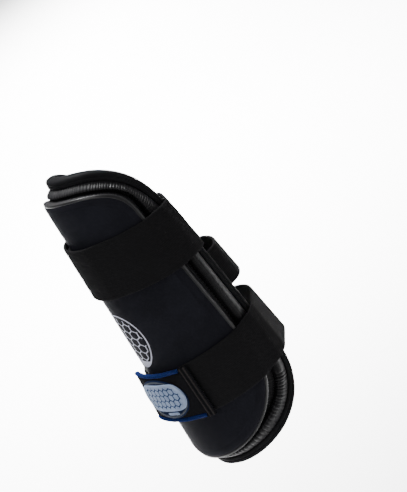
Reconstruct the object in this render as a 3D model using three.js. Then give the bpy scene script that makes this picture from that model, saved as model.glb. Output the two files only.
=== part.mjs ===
import * as THREE from "three";
import { mergeVertices } from "three/addons/utils/BufferGeometryUtils.js";

// A forearm guard as it is worn: a moulded padded shell on a lined backing pad,
// edged with a gathered roll and a binding, and held round the arm by three elastic straps.
// Millimetres. The origin is on the axis of the forearm, halfway along the guard.
// +Z runs to the wrist, -Y is the front of the shell, +X the near side, where the wide straps
// come over the edge.
//
// Pieces of the guard are laid out flat first. A flat place is (around, z): around is the
// distance round the arm from the front centre line, positive to the near side, and height is
// the distance out from the lining. A bearing is an angle round the axis from the front.

// Length of the guard and the forearm that it fits
const LENGTH = 286;
const WRIST_HALF_WIDTH = 34;
const WRIST_HALF_DEPTH = 30.8;
const ELBOW_HALF_WIDTH = 54;
const ELBOW_HALF_DEPTH = 56;

// Flat outline of the guard: how far it reaches round the arm, and how its ends round off
const WRIST_REACH = 70;
const ELBOW_REACH = 110;
const WRIST_ROUNDING = 90;
const ELBOW_ROUNDING = 76;
const WRIST_SQUARENESS = 2.65;
const ELBOW_SQUARENESS = 2.25;

// Backing pad and its binding
const PAD_THICKNESS = 6;
const BINDING_WIDTH = 7.5;
const BINDING_WALL = 1.2;

// Moulded shell: how far its edge stands back from the rim, how high it rises, its wall
const SHELL_RISE = 13;
const SHELL_SIDE_BORDER = 27;
const SHELL_WRIST_BORDER = 16;
const SHELL_ELBOW_BORDER = 16.8;
const SHELL_WRIST_ROUNDING = 36;
const SHELL_ELBOW_ROUNDING = 75;
const SHELL_WALL_RUN = 4.5;
const SHELL_EDGE_ROUNDING = 4;

// Gathered roll in the channel between the binding and the shell; no higher than it is wide
const ROLL_RISE = 6.5;

// Straps of elastic webbing, with hook tabs, loop patches, and the edging and badge of the tabs
const STRAP_THICKNESS = 2.2;
const STRAP_ROOT_LAP = 16;
const TURN_IN = 0.45;
const TAB_THICKNESS = 2.8;
const TAB_LAP = 8;
const PATCH_THICKNESS = 1.8;
const PATCH_MARGIN = 4.5;
const EDGING_WIDTH = 3;
const EDGING_SWELL = 0.4;
const BADGE_LENGTH = 62;
const BADGE_WIDTH = 39;
const BADGE_THICKNESS = 1.4;

// The line that each strap takes: the z of its centre at the front, on the near side and at the
// back of the arm, its width, and how far its inner face stands off the forearm at the back
const UPPER = { front: 63.5, near: 57.7, back: 52, width: 49, standoff: -6.5 };
const LOWER = { front: -59.5, near: -56.5, back: -59, width: 47, standoff: -1.8 };
const MIDDLE = { front: 2, near: 3.4, back: 2, width: 35, standoff: 1.8 };

// Where tabs and patches lie, as shares of the way from the front to the edge of the flat top,
// and how far the two corners at a tab's free start stand off
const UPPER_TAB = { start: -1.08, end: -0.72, wristLift: 0.5, elbowLift: 0.5 };
const LOWER_TAB = { start: -0.37, end: 0.51, wristLift: 4, elbowLift: 6.5 };
const UPPER_PATCH = { start: -1, end: 0.24 };
const LOWER_PATCH = { start: -0.8, end: 0.35 };

// Gaps between touching pieces, between a strap and what it is stretched over, and between a
// tab and the strap's end under it
const GAP = 0.3;
const LAP_GAP = 1;
const STRAP_CLEARANCE = 0.8;

// How finely the curves are divided
const STATIONS = 30;
const COLUMNS = 12;
const STRAP_STEP = 4.5;
const SUPPORT_STEP = 1;
const SUPPORT_MARGIN = 0.12;
const LIFT_BEND = 1.6;
const BADGE_STEPS = 12;
const FINE = 1600;

// Section of the shell's wall, from its foot in to the flat top, in shares of the wall's run,
// of the rounding of the edge and of the rise
const SHELL_WALL = [
  { run: 0, rounding: 0, rise: 0 },
  { run: 0.45, rounding: 0, rise: 0.6 },
  { run: 1, rounding: 0, rise: 0.92 },
  { run: 1, rounding: 1, rise: 1 },
];

// Section of the gathered roll, from the binding in to the foot of the shell, in shares of the
// channel's width and of the rise
const ROLL_SECTION = [
  { across: 0, rise: 0.35 },
  { across: 0.16, rise: 0.84 },
  { across: 0.36, rise: 1 },
  { across: 0.56, rise: 0.84 },
  { across: 0.72, rise: 0.42 },
  { across: 1, rise: 0.36 },
];

// Section of the binding, folded round the edge of the pad: a share of its width in from the
// rim, a share of the pad's thickness, and a number of walls out from that
const BINDING_SECTION = [
  { across: 1, pad: 1, walls: 0.5 },
  { across: 1, pad: 1, walls: 1.1 },
  { across: 0.55, pad: 1, walls: 1.5 },
  { across: 0.16, pad: 1, walls: 0.9 },
  { across: 0, pad: 0.8, walls: 0 },
  { across: 0, pad: 0.2, walls: 0 },
  { across: 0.16, pad: 0, walls: -0.8 },
  { across: 0.55, pad: 0, walls: -1.3 },
  { across: 1, pad: 0, walls: -1.2 },
  { across: 1, pad: 0, walls: -0.5 },
  { across: 0.16, pad: 0, walls: -0.5 },
  { across: 0.16, pad: 1, walls: 0.5 },
];
const BINDING_TOP = Math.max(...BINDING_SECTION.map(({ walls }) => walls)) * BINDING_WALL;
const BINDING_UNDER = -Math.min(...BINDING_SECTION.map(({ walls }) => walls)) * BINDING_WALL;

const HALF = LENGTH / 2;
const SHELL_TOP = PAD_THICKNESS + GAP + SHELL_RISE;
const ROLL_START = BINDING_WIDTH + GAP;
const ROOT_HEIGHT = -(BINDING_UNDER + GAP + STRAP_THICKNESS);
const mix = (from, to, share) => from + (to - from) * share;
const range = (count) => Array.from({ length: count + 1 }, (_, i) => i);
const radians = THREE.MathUtils.degToRad;
const degrees = THREE.MathUtils.radToDeg;

// The forearm is an ellipse in every cross-section, and tapers evenly to the wrist.
const toWrist = (z) => (z + HALF) / LENGTH;
const halfWidth = (z) => mix(ELBOW_HALF_WIDTH, WRIST_HALF_WIDTH, toWrist(z));
const halfDepth = (z) => mix(ELBOW_HALF_DEPTH, WRIST_HALF_DEPTH, toWrist(z));
const wrapRadius = (z) => (halfWidth(z) + halfDepth(z) + PAD_THICKNESS) / 2;

// A place on the arm, from its bearing in radians, its z and its height over the lining
function onArm(bearing, z, height) {
  const side = Math.sin(bearing);
  const front = -Math.cos(bearing);
  const out = new THREE.Vector2(side / halfWidth(z), front / halfDepth(z)).normalize();
  const lining = new THREE.Vector2(halfWidth(z) * side, halfDepth(z) * front);
  const place = lining.addScaledVector(out, height);
  return new THREE.Vector3(place.x, place.y, z);
}

// Half the width of a flat outline at z: straight sides, and ends that round off
function outlineReach(z, border) {
  const side = mix(ELBOW_REACH, WRIST_REACH, toWrist(z)) - border.side;
  const pastWrist = (z - HALF + border.wrist) / border.wristRounding + 1;
  const pastElbow = (border.elbow - HALF - z) / border.elbowRounding + 1;
  if (pastWrist >= 1 || pastElbow >= 1) return 0;
  if (pastWrist > 0) return side * (1 - pastWrist ** WRIST_SQUARENESS) ** (1 / WRIST_SQUARENESS);
  if (pastElbow > 0) return side * (1 - pastElbow ** ELBOW_SQUARENESS) ** (1 / ELBOW_SQUARENESS);
  return side;
}

const RIM = {
  side: 0,
  wrist: 0,
  elbow: 0,
  wristRounding: WRIST_ROUNDING,
  elbowRounding: ELBOW_ROUNDING,
};
const SHELL = {
  side: SHELL_SIDE_BORDER,
  wrist: SHELL_WRIST_BORDER,
  elbow: SHELL_ELBOW_BORDER,
  wristRounding: SHELL_WRIST_ROUNDING,
  elbowRounding: SHELL_ELBOW_ROUNDING,
};

// Width of the border at a place on the rim: the way in, square to the rim, to the shell's edge
function borderWidth(place, inward) {
  const widest = 2 * Math.max(SHELL_SIDE_BORDER, SHELL_WRIST_BORDER, SHELL_ELBOW_BORDER);
  const step = widest / FINE;
  const there = place.clone();
  let width = 0;
  while (Math.abs(there.x) >= outlineReach(there.y, SHELL) && width < widest) {
    there.addScaledVector(inward, step);
    width += step;
  }
  return width;
}

// Stations spaced evenly along the near half of the rim, from the wrist tip to the elbow tip,
// each with its inward direction and the width of the border there
function rimStations() {
  const path = range(FINE).map((i) => {
    const z = HALF * Math.cos((Math.PI * i) / FINE);
    return new THREE.Vector2(outlineReach(z, RIM), z);
  });
  const run = path.map(() => 0);
  for (let i = 1; i <= FINE; i += 1) run[i] = run[i - 1] + path[i].distanceTo(path[i - 1]);
  return range(STATIONS).map((station) => {
    const i = run.findIndex((length) => length >= (run[FINE] * station) / STATIONS - 1e-9);
    const along = path[Math.min(i + 1, FINE)].clone().sub(path[Math.max(i - 1, 0)]).normalize();
    const inward = new THREE.Vector2(along.y, -along.x);
    if (station === 0) inward.set(0, -1);
    if (station === STATIONS) inward.set(0, 1);
    return { place: path[i], inward, border: borderWidth(path[i], inward) };
  });
}
const NEAR_RIM = rimStations();
const WHOLE_RIM = [
  ...NEAR_RIM.map((station) => ({ station, side: 1 })),
  ...NEAR_RIM.slice(1, -1).reverse().map((station) => ({ station, side: -1 })),
];

const shellFoot = (station) => station.border - SHELL_WALL_RUN;
const inFrom = (station, depth) => station.place.clone().addScaledVector(station.inward, depth);

// A place in from the rim by a depth square to it, on the near side (1) or the far side (-1)
function atRim(station, side, depth, height) {
  const flat = inFrom(station, depth);
  return onArm((side * flat.x) / wrapRadius(flat.y), flat.y, height);
}

// One closed geometry from four-cornered faces, all turned the same way round
function closed(faces) {
  const corners = faces.flatMap(([a, b, c, d]) => [a, b, c, a, c, d]);
  const soup = new THREE.BufferGeometry().setFromPoints(corners);
  const merged = mergeVertices(soup, 1e-3);
  const index = merged.index.array;
  const kept = [];
  for (let i = 0; i < index.length; i += 3) {
    const [a, b, c] = index.slice(i, i + 3);
    if (a !== b && b !== c && c !== a) kept.push([a, b, c]);
  }
  const vertex = (i) => new THREE.Vector3().fromBufferAttribute(merged.attributes.position, i);
  const volume = kept.reduce((sum, [a, b, c]) => sum + vertex(a).dot(vertex(b).cross(vertex(c))), 0);
  merged.setIndex(kept.flatMap(([a, b, c]) => (volume > 0 ? [a, b, c] : [a, c, b])));
  merged.computeVertexNormals();
  return merged;
}

// A sheet with a top and a bottom, from rows of { top, bottom }. Its ends are left out where
// the first and last rows are folded shut.
function sheet(rows, foldedEnds = false) {
  const faces = [];
  const last = rows[0].length - 1;
  for (let r = 0; r + 1 < rows.length; r += 1) {
    const [row, next] = [rows[r], rows[r + 1]];
    for (let c = 0; c < last; c += 1) {
      faces.push([row[c].top, row[c + 1].top, next[c + 1].top, next[c].top]);
      faces.push([row[c].bottom, next[c].bottom, next[c + 1].bottom, row[c + 1].bottom]);
    }
    faces.push([row[0].top, next[0].top, next[0].bottom, row[0].bottom]);
    faces.push([next[last].top, row[last].top, row[last].bottom, next[last].bottom]);
  }
  if (foldedEnds) return closed(faces);
  const [first, end] = [rows[0], rows.at(-1)];
  for (let c = 0; c < last; c += 1) {
    faces.push([first[c + 1].top, first[c].top, first[c].bottom, first[c + 1].bottom]);
    faces.push([end[c].top, end[c + 1].top, end[c + 1].bottom, end[c].bottom]);
  }
  return closed(faces);
}

// A pad as wide as the guard: the section gives its depth in from the rim, top and bottom
function pad(section) {
  const rows = NEAR_RIM.map((station) => {
    const edge = section(station);
    const sideOf = (side) =>
      edge.map(({ depth, top, bottom }) => ({
        top: atRim(station, side, depth, top),
        bottom: atRim(station, side, depth, bottom),
      }));
    const inner = edge.at(-1);
    const flat = inFrom(station, inner.depth);
    const bearing = flat.x / wrapRadius(flat.y);
    const middle = range(COLUMNS).slice(1, -1).map((column) => {
      const here = mix(-bearing, bearing, column / COLUMNS);
      return { top: onArm(here, flat.y, inner.top), bottom: onArm(here, flat.y, inner.bottom) };
    });
    return [...sideOf(-1), ...middle, ...sideOf(1).reverse()];
  });
  return sheet(rows, true);
}

// A ring round the whole rim, from a closed section of { depth, height } at each station
function rimRing(section) {
  const stations = WHOLE_RIM.map(({ station, side }) =>
    section(station).map(({ depth, height }) => atRim(station, side, depth, height)),
  );
  return closed(
    stations.flatMap((here, i) => {
      const next = stations[(i + 1) % stations.length];
      return here.map((corner, k) => {
        const beside = (k + 1) % here.length;
        return [corner, here[beside], next[beside], next[k]];
      });
    }),
  );
}

function backingPad() {
  const edge = BINDING_WALL + GAP;
  return pad((station) => {
    const foot = shellFoot(station);
    const channel = (ROLL_START + foot) / 2;
    const depths = [edge, BINDING_WIDTH, channel, foot, station.border + SHELL_EDGE_ROUNDING];
    return depths.map((depth) => ({ depth, top: PAD_THICKNESS, bottom: 0 }));
  });
}

function shellPad() {
  return pad((station) =>
    SHELL_WALL.map(({ run, rounding, rise }) => ({
      depth: shellFoot(station) + run * SHELL_WALL_RUN + rounding * SHELL_EDGE_ROUNDING,
      top: mix(PAD_THICKNESS + 2 * GAP, SHELL_TOP, rise),
      bottom: PAD_THICKNESS + GAP,
    })),
  );
}

function borderRoll() {
  const floor = PAD_THICKNESS + GAP;
  return rimRing((station) => {
    const end = shellFoot(station) - GAP;
    const crest = Math.min(ROLL_RISE, end - ROLL_START);
    const top = ROLL_SECTION.map(({ across, rise }) => ({
      depth: mix(ROLL_START, end, across),
      height: floor + rise * crest,
    }));
    const under = [end, (ROLL_START + end) / 2, ROLL_START].map((depth) => ({ depth, height: floor }));
    return [...top, ...under];
  });
}

function edgeBinding() {
  return rimRing(() =>
    BINDING_SECTION.map(({ across, pad: share, walls }) => ({
      depth: across * BINDING_WIDTH,
      height: share * PAD_THICKNESS + walls * BINDING_WALL,
    })),
  );
}

// The z of a lane of a strap: lane 1 is its wrist edge and lane -1 its elbow edge
function laneZ(strap, bearing, lane) {
  const behind = (1 - Math.cos(bearing)) / 2;
  const sideLift = strap.near - (strap.front + strap.back) / 2;
  return mix(strap.front, strap.back, behind) + sideLift * Math.sin(bearing) + (lane * strap.width) / 2;
}

// The line that a stretched band takes round a set of points in a cross-section: their convex
// outline, given as a distance from the axis for each bearing
function tautLine(points) {
  const turn = (o, a, b) => (a.x - o.x) * (b.y - o.y) - (a.y - o.y) * (b.x - o.x);
  const chain = (list) => {
    const kept = [];
    for (const point of list) {
      while (kept.length > 1 && turn(kept.at(-2), kept.at(-1), point) <= 0) kept.pop();
      kept.push(point);
    }
    return kept.slice(0, -1);
  };
  const sorted = [...points].sort((a, b) => a.x - b.x || a.y - b.y);
  const outline = [...chain(sorted), ...chain([...sorted].reverse())];
  return (bearing) => {
    const ray = { x: Math.sin(bearing), y: -Math.cos(bearing) };
    const crossings = outline.map((a, i) => {
      const b = outline[(i + 1) % outline.length];
      const [fromRay, toRay] = [ray.x * a.y - ray.y * a.x, ray.x * b.y - ray.y * b.x];
      if (fromRay * toRay > 0 || fromRay === toRay) return 0;
      const share = fromRay / (fromRay - toRay);
      return mix(a.x, b.x, share) * ray.x + mix(a.y, b.y, share) * ray.y;
    });
    return Math.max(...crossings);
  };
}

// Bearing of the guard's rim, and of the edge of the shell's flat top, under a strap
const rimBearing = (z) => outlineReach(z, RIM) / wrapRadius(z);
const topBearing = (strap) =>
  Math.min(...[-1, 0, 1].map((lane) => {
    const z = laneZ(strap, 0, lane);
    return (outlineReach(z, SHELL) - SHELL_EDGE_ROUNDING) / wrapRadius(z);
  }));

// How high the guard stands over the lining at a bearing, where a strap presses on it
function guardHeight(bearing, z) {
  const around = Math.abs(bearing) * wrapRadius(z);
  const shellEdge = outlineReach(z, SHELL);
  const inShell = shellEdge - around;
  if (inShell >= SHELL_EDGE_ROUNDING) return SHELL_TOP;
  const edgeRise = mix(SHELL_WALL[2].rise, SHELL_WALL[3].rise, inShell / SHELL_EDGE_ROUNDING);
  if (inShell >= 0) return mix(PAD_THICKNESS + 2 * GAP, SHELL_TOP, edgeRise);
  const fromRim = outlineReach(z, RIM) - around;
  if (fromRim <= BINDING_WIDTH) return PAD_THICKNESS + BINDING_TOP * Math.min(1, fromRim + 0.5);
  const across = (fromRim - ROLL_START) / (outlineReach(z, RIM) - shellEdge - SHELL_WALL_RUN - ROLL_START);
  const onCrest = across > ROLL_SECTION[1].across && across < ROLL_SECTION[3].across;
  return PAD_THICKNESS + (onCrest ? ROLL_RISE + GAP : BINDING_TOP);
}

const inPatch = (strap, patch, bearing) => {
  const share = bearing / topBearing(strap);
  return share >= patch.start && share <= patch.end;
};

// A wide strap's own path: taut round the back of the arm, the near edge and the front, and
// past the far edge in under the guard, where it is sewn. The far edge has a bearing over 180.
function wideRun(strap, patch) {
  const farFront = -topBearing(strap) / 3;
  const line = (lane) => {
    const supports = [];
    const far = 2 * Math.PI - rimBearing(laneZ(strap, Math.PI, lane));
    const start = farFront - SUPPORT_MARGIN;
    for (let bearing = start; bearing <= far; bearing += radians(SUPPORT_STEP)) {
      const z = laneZ(strap, bearing, lane);
      const lift = inPatch(strap, patch, bearing) ? PATCH_THICKNESS + GAP : 0;
      const onGuard = bearing <= rimBearing(z);
      const height = onGuard ? guardHeight(bearing, z) + lift + STRAP_CLEARANCE : strap.standoff;
      supports.push(onArm(bearing, z, height));
    }
    return tautLine(supports);
  };
  const lines = new Map([-1, 0, 1].map((lane) => [lane, line(lane)]));
  return (bearing, lane, lift) => {
    const z = laneZ(strap, bearing, lane);
    const farEdge = 2 * Math.PI - rimBearing(z);
    const toRoot = THREE.MathUtils.smoothstep(bearing, farEdge - TURN_IN, farEdge);
    const front = onArm(bearing, z, SHELL_TOP + PATCH_THICKNESS + GAP + STRAP_CLEARANCE);
    const root = onArm(bearing, z, ROOT_HEIGHT);
    const taut = bearing < farFront ? Math.hypot(front.x, front.y) : lines.get(lane)(bearing);
    const distance = mix(taut, Math.hypot(root.x, root.y), toRoot) + lift;
    return new THREE.Vector3(distance * Math.sin(bearing), -distance * Math.cos(bearing), z);
  };
}

// A hook tab's path: pressed on its patch, over the end of its strap. It is stiff, and from its
// middle to its free start it bends off the guard.
function tabRun(strap, tab, strapRun, strapEnd) {
  const top = topBearing(strap);
  const inner = (lane) => {
    const supports = [];
    const [from, to] = [tab.start * top - SUPPORT_MARGIN, tab.end * top + SUPPORT_MARGIN];
    for (let bearing = from; bearing <= to; bearing += radians(SUPPORT_STEP)) {
      const z = laneZ(strap, bearing, lane);
      supports.push(onArm(bearing, z, SHELL_TOP + PATCH_THICKNESS + 2 * GAP));
      const overStrap = bearing >= strapEnd;
      if (overStrap) supports.push(strapRun(bearing, Math.round(lane), STRAP_THICKNESS + LAP_GAP));
    }
    return tautLine(supports);
  };
  const lines = new Map();
  return (bearing, lane, lift) => {
    if (!lines.has(lane)) lines.set(lane, inner(lane));
    const z = laneZ(strap, bearing, lane);
    const middle = ((tab.start + tab.end) / 2) * top;
    const toStart = Math.max(0, (middle - bearing) / (middle - tab.start * top));
    const off = mix(tab.wristLift, tab.elbowLift, (1 - lane) / 2) * toStart ** LIFT_BEND;
    const distance = lines.get(lane)(bearing) + off + lift;
    return new THREE.Vector3(distance * Math.sin(bearing), -distance * Math.cos(bearing), z);
  };
}

// A band along a path, from one bearing to another, across the lanes given
function band(run, from, to, lanes, thickness) {
  const steps = Math.ceil(degrees(to - from) / STRAP_STEP);
  const rows = range(steps).map((step) => {
    const bearing = mix(from, to, step / steps);
    return lanes.map((lane) => ({ top: run(bearing, lane, thickness), bottom: run(bearing, lane, 0) }));
  });
  return sheet(rows);
}

const LANES = [-1, 0, 1];

function loopPatch(strap, patch) {
  const top = topBearing(strap);
  const lane = 1 - (2 * PATCH_MARGIN) / strap.width;
  const run = (bearing, across, lift) =>
    onArm(bearing, laneZ(strap, bearing, across), SHELL_TOP + GAP + lift);
  return band(run, patch.start * top, patch.end * top, [-lane, 0, lane], PATCH_THICKNESS);
}

const rootBearing = (strap) => {
  const z = laneZ(strap, Math.PI, 0);
  return rimBearing(z) - STRAP_ROOT_LAP / wrapRadius(z);
};

// The middle strap goes round the back alone: sewn under both edges of the guard
function middleStrap() {
  const run = (bearing, lane, lift) => {
    const z = laneZ(MIDDLE, bearing, lane);
    const pastEdge = Math.min(bearing, 2 * Math.PI - bearing) - rimBearing(z);
    const height = mix(ROOT_HEIGHT, MIDDLE.standoff, THREE.MathUtils.smoothstep(pastEdge, 0, TURN_IN));
    return onArm(bearing, z, height + lift);
  };
  const root = rootBearing(MIDDLE);
  return band(run, root, 2 * Math.PI - root, LANES, STRAP_THICKNESS);
}

// The badge on the tab: an oval, its ends cut a little short
function badge(run, strap) {
  const face = run(0, 0, TAB_THICKNESS);
  const reach = BADGE_LENGTH / 2 / Math.hypot(face.x, face.y);
  const rows = range(BADGE_STEPS).map((step) => {
    const along = 0.97 * Math.sin(Math.PI * (step / BADGE_STEPS - 0.5));
    const halfLane = Math.sqrt(1 - along ** 2) * (BADGE_WIDTH / strap.width);
    return [-halfLane, 0, halfLane].map((lane) => ({
      top: run(along * reach, lane, TAB_THICKNESS + GAP + BADGE_THICKNESS),
      bottom: run(along * reach, lane, TAB_THICKNESS + GAP),
    }));
  });
  return sheet(rows);
}

const FINISHES = {
  lining: { color: 0x15161a, roughness: 0.85 },
  shell: { color: 0x1c2027, roughness: 0.55 },
  border: { color: 0x121216, roughness: 0.32 },
  binding: { color: 0x0f0f12, roughness: 0.45 },
  elastic: { color: 0x171717, roughness: 0.9 },
  loop: { color: 0x0e0e10, roughness: 1 },
  hook: { color: 0x141519, roughness: 0.8 },
  edging: { color: 0x1c4f9c, roughness: 0.7 },
  badge: { color: 0xbfc4d2, roughness: 0.6 },
};

const guard = new THREE.Group();

function addPiece(name, geometry, finish) {
  const material = new THREE.MeshStandardMaterial({ ...FINISHES[finish], metalness: 0 });
  const mesh = new THREE.Mesh(geometry, material);
  mesh.name = name;
  guard.add(mesh);
}

// A wide strap with its loop patch and its hook tab; returns the path that the tab takes
function addStrap(name, strap, patch, tab) {
  const top = topBearing(strap);
  const end = tab.end * top - TAB_LAP / (wrapRadius(strap.front) + SHELL_TOP);
  const run = wideRun(strap, patch);
  const strapBand = band(run, end, 2 * Math.PI - rootBearing(strap), LANES, STRAP_THICKNESS);
  addPiece(`${name}_strap`, strapBand, "elastic");
  addPiece(`${name}_loop_patch`, loopPatch(strap, patch), "loop");
  const onTab = tabRun(strap, tab, run, end);
  const inside = 1 - (2 * (EDGING_WIDTH + GAP)) / strap.width;
  const edge = 1 - (2 * EDGING_WIDTH) / strap.width;
  const tabBand = (lanes, thickness) => band(onTab, tab.start * top, tab.end * top, lanes, thickness);
  addPiece(`${name}_strap_tab`, tabBand([-inside, 0, inside], TAB_THICKNESS), "hook");
  addPiece(`${name}_tab_wrist_edging`, tabBand([edge, 1], TAB_THICKNESS + EDGING_SWELL), "edging");
  addPiece(`${name}_tab_elbow_edging`, tabBand([-1, -edge], TAB_THICKNESS + EDGING_SWELL), "edging");
  return onTab;
}

addPiece("backing_pad", backingPad(), "lining");
addPiece("edge_binding", edgeBinding(), "binding");
addPiece("border_roll", borderRoll(), "border");
addPiece("shell_pad", shellPad(), "shell");
addStrap("upper", UPPER, UPPER_PATCH, UPPER_TAB);
const lowerTab = addStrap("lower", LOWER, LOWER_PATCH, LOWER_TAB);
addPiece("tab_badge", badge(lowerTab, LOWER), "badge");
addPiece("middle_strap", middleStrap(), "elastic");

export default guard;
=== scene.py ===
# %% [markdown]
# # A padded forearm guard, as it is worn
#
# The real guard is a block of foam moulded under a matt leatherette skin. It sits on a thin
# lined pad that wraps the forearm. Round the block runs a puffy gathered border, the rim of the
# pad is bound with tape, and three elastic straps hold the guard on the arm.
#
# Everything here is drawn in the frame of the CAD part: the origin lies on the axis of the
# forearm, halfway along the guard. +Z runs to the wrist, -Y is the front of the shell and +X is
# the near side. The pieces are first laid out flat, the way a cutter would see them, and then
# wrapped round the arm.

# %% Open the frame
import math
import bmesh
import bpy
import mathutils
import numpy as np
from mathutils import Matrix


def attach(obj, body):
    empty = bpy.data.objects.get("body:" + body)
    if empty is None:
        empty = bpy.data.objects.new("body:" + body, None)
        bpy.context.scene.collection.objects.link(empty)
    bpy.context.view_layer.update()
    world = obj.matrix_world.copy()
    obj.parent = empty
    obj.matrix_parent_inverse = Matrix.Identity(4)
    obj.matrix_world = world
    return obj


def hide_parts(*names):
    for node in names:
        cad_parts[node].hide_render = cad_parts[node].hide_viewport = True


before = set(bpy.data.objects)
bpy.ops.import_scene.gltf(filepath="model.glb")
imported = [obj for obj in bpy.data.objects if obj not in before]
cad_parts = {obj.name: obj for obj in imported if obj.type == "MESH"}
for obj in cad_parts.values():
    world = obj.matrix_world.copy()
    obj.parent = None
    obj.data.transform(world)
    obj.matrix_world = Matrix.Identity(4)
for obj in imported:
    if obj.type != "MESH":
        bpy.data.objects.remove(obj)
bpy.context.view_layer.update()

# %% [markdown]
# ## Sizes
#
# All sizes are in millimetres, and they are the sizes of the CAD part. `MM` brings them to
# metres when a mesh is made.

# %% Sizes of the guard and of the arm
MM = 0.001
FULL_TURN = 2 * math.pi
LENGTH = 286.0
HALF = LENGTH / 2
WRIST_HALF_WIDTH, WRIST_HALF_DEPTH = 34.0, 30.8
ELBOW_HALF_WIDTH, ELBOW_HALF_DEPTH = 54.0, 56.0
WRIST_REACH, ELBOW_REACH = 70.0, 110.0
WRIST_SQUARENESS, ELBOW_SQUARENESS = 2.65, 2.25
PAD = 6.0
BINDING_WIDTH, BINDING_TOP, BINDING_UNDER = 7.5, 1.8, 1.56
GAP = 0.3
SHELL_THICK = 13.0
SHELL_TOP = PAD + GAP + SHELL_THICK
WALL_RUN = 4.5
ROLL_RISE = 6.5
RIM = {"side": 0.0, "wrist": 0.0, "elbow": 0.0, "wrist_round": 90.0, "elbow_round": 76.0}
SHELL = {"side": 27.0, "wrist": 16.0, "elbow": 16.8, "wrist_round": 36.0, "elbow_round": 75.0}

STRAP, PATCH, TAB = 2.2, 1.8, 2.8
UPPER = {"front": 63.5, "near": 57.7, "back": 52.0, "width": 49.0, "standoff": -6.5}
LOWER = {"front": -59.5, "near": -56.5, "back": -59.0, "width": 47.0, "standoff": -1.8}
MIDDLE = {"front": 2.0, "near": 3.4, "back": 2.0, "width": 35.0, "standoff": 1.8}
UPPER_TAB = {"start": -1.1, "end": -0.84, "wrist_lift": 0.0, "elbow_lift": 0.0}
LOWER_TAB = {"start": -0.37, "end": 0.51, "wrist_lift": 4.0, "elbow_lift": 6.5}
UPPER_PATCH = {"start": -1.0, "end": 0.24}
LOWER_PATCH = {"start": -0.8, "end": 0.35}
ROOT_LAP, TAB_LAP, TURN_IN, EDGING, WRIST_EDGING = 16.0, 8.0, 0.45, 3.0, 2.3
ROOT_HEIGHT = -(BINDING_UNDER + GAP + STRAP)
CLEARANCE = 0.35
print("guard, mm:", LENGTH, "long, shell", SHELL_TOP, "over the lining")

# %% [markdown]
# ## The arm and the flat outlines
#
# A flat place is (around, z). Dividing `around` by the radius of the wrap turns it into a bearing
# round the arm, and `on_arm` puts a point at that bearing and at a height over the lining.

# %% The tapering arm, and a place on it
def mix(start, end, share):
    return start + (end - start) * share


def unit(vectors):
    return vectors / np.linalg.norm(vectors, axis=-1, keepdims=True)


def totals(steps):
    """Running totals, from 0."""
    return np.concatenate([[0], np.cumsum(steps)])


def smoothstep(value, low, high):
    share = np.clip((value - low) / (high - low), 0, 1)
    return share * share * (3 - 2 * share)


def to_wrist(z):
    return (z + HALF) / LENGTH


def half_width(z):
    return mix(ELBOW_HALF_WIDTH, WRIST_HALF_WIDTH, to_wrist(z))


def half_depth(z):
    return mix(ELBOW_HALF_DEPTH, WRIST_HALF_DEPTH, to_wrist(z))


def wrap_radius(z):
    return (half_width(z) + half_depth(z) + PAD) / 2


def on_arm(bearing, z, height):
    bearing, z, height = np.broadcast_arrays(bearing, z, height)
    side, front = np.sin(bearing), -np.cos(bearing)
    wide, deep = half_width(z), half_depth(z)
    out_x, out_y = side / wide, front / deep
    norm = np.hypot(out_x, out_y)
    x = wide * side + height * out_x / norm
    y = deep * front + height * out_y / norm
    return np.stack([x, y, z], -1)


def wrapped(flat, height):
    """Points over the lining at flat places."""
    return on_arm(flat[..., 0] / wrap_radius(flat[..., 1]), flat[..., 1], height)


def axis_distance(points):
    return np.hypot(points[..., 0], points[..., 1])


def outline_reach(z, outline):
    """Half the width of a flat outline: straight sides that taper, and rounded ends."""
    side = mix(ELBOW_REACH, WRIST_REACH, to_wrist(z)) - outline["side"]
    wrist = np.clip((z - HALF + outline["wrist"]) / outline["wrist_round"] + 1, 0, 1)
    elbow = np.clip((outline["elbow"] - HALF - z) / outline["elbow_round"] + 1, 0, 1)
    wrist_end = (1 - wrist**WRIST_SQUARENESS) ** (1 / WRIST_SQUARENESS)
    elbow_end = (1 - elbow**ELBOW_SQUARENESS) ** (1 / ELBOW_SQUARENESS)
    return side * wrist_end * elbow_end


print("lining at the wrist, mm:", 2 * WRIST_HALF_WIDTH, "by", 2 * WRIST_HALF_DEPTH)

# %% [markdown]
# The rim is walked once round at even steps. Each station knows its place, the way in square to
# the rim, and how wide the border is there. A section is then drawn once as depths and heights,
# and swept round the whole rim.

# %% Stations round the rim
FINE_STATIONS, PLAIN_STATIONS, TRIAL_POINTS = 2500, 640, 8001
WIDEST_BORDER, HALVINGS = 48.0, 30
SMOOTH_WAY, SMOOTH_WIDTH = 3.0, 6.0


def round_smooth(values, step, reach):
    """A running mean round a closed line."""
    count = max(1, int(reach / step))
    kernel = np.hanning(2 * count + 1)
    padded = np.concatenate([values[-count:], values, values[:count]])
    return np.convolve(padded, kernel / kernel.sum(), "valid")


def border_width(place, inward):
    """The way in from the rim to the edge of the shell, found by halving."""
    low, high = np.zeros(len(place)), np.full(len(place), WIDEST_BORDER)
    for _ in range(HALVINGS):
        middle = (low + high) / 2
        spot = place + inward * middle[:, None]
        inside = np.abs(spot[:, 0]) < outline_reach(spot[:, 1], SHELL)
        low, high = np.where(inside, low, middle), np.where(inside, middle, high)
    return high


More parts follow.
